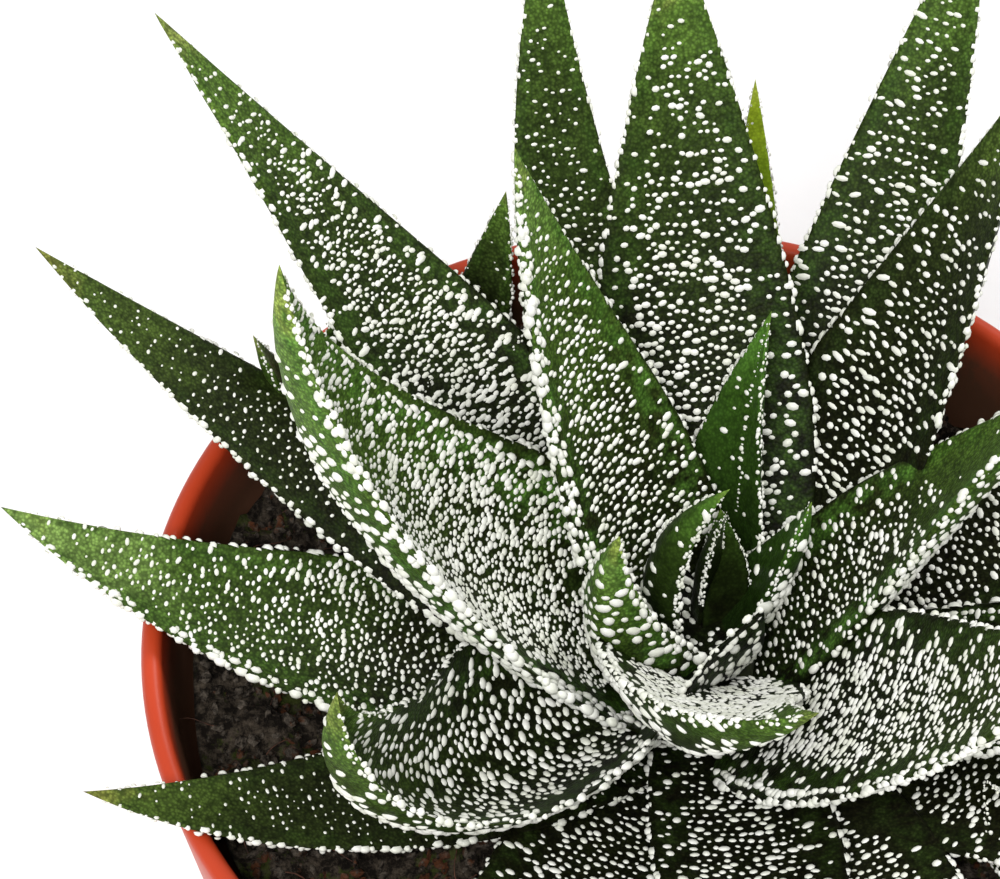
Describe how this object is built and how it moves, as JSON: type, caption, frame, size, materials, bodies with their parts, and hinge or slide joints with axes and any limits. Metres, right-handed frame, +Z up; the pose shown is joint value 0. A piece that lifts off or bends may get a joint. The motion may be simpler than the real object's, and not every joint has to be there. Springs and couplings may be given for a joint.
{
  "type": "potted haworthia",
  "caption": "Small rosette succulent with pointed, white-warted leaves, growing in soil in a plain round plastic nursery pot with a stepped collar.",
  "frame": {"origin": "centre of the pot's flat underside, on the pot's axis", "axes": "+Z up along the pot's axis, +X to the plant's right and -Y towards the side that the picture looks from"},
  "size_m": [0.1207, 0.1182, 0.1323],
  "materials": {
    "pot": "satin, thin-walled",
    "soil": "crumbly, moist peat",
    "stem": "pale, fibrous",
    "leaf": "waxy green with raised white warts",
    "young_leaf": "waxy bright green with few warts"
  },
  "bodies": {
    "root": {"pot": "pot", "soil": "soil", "stem": "stem", "leaf_01": "young_leaf", "leaf_02": "young_leaf", "leaf_03": "young_leaf", "leaf_04": "young_leaf", "leaf_05": "leaf", "leaf_06": "leaf", "leaf_07": "leaf", "leaf_08": "leaf", "leaf_09": "leaf", "leaf_10": "leaf", "leaf_11": "leaf", "leaf_12": "leaf", "leaf_13": "leaf", "leaf_14": "leaf", "leaf_15": "leaf", "leaf_16": "leaf", "leaf_17": "leaf", "leaf_18": "leaf", "leaf_19": "leaf", "leaf_20": "leaf", "leaf_21": "leaf", "leaf_22": "leaf", "leaf_23": "leaf", "leaf_24": "leaf", "leaf_25": "leaf", "leaf_26": "leaf", "offset_1": "young_leaf", "offset_2": "young_leaf", "offset_3": "young_leaf", "offset_4": "young_leaf"}
  },
  "joints": []
}
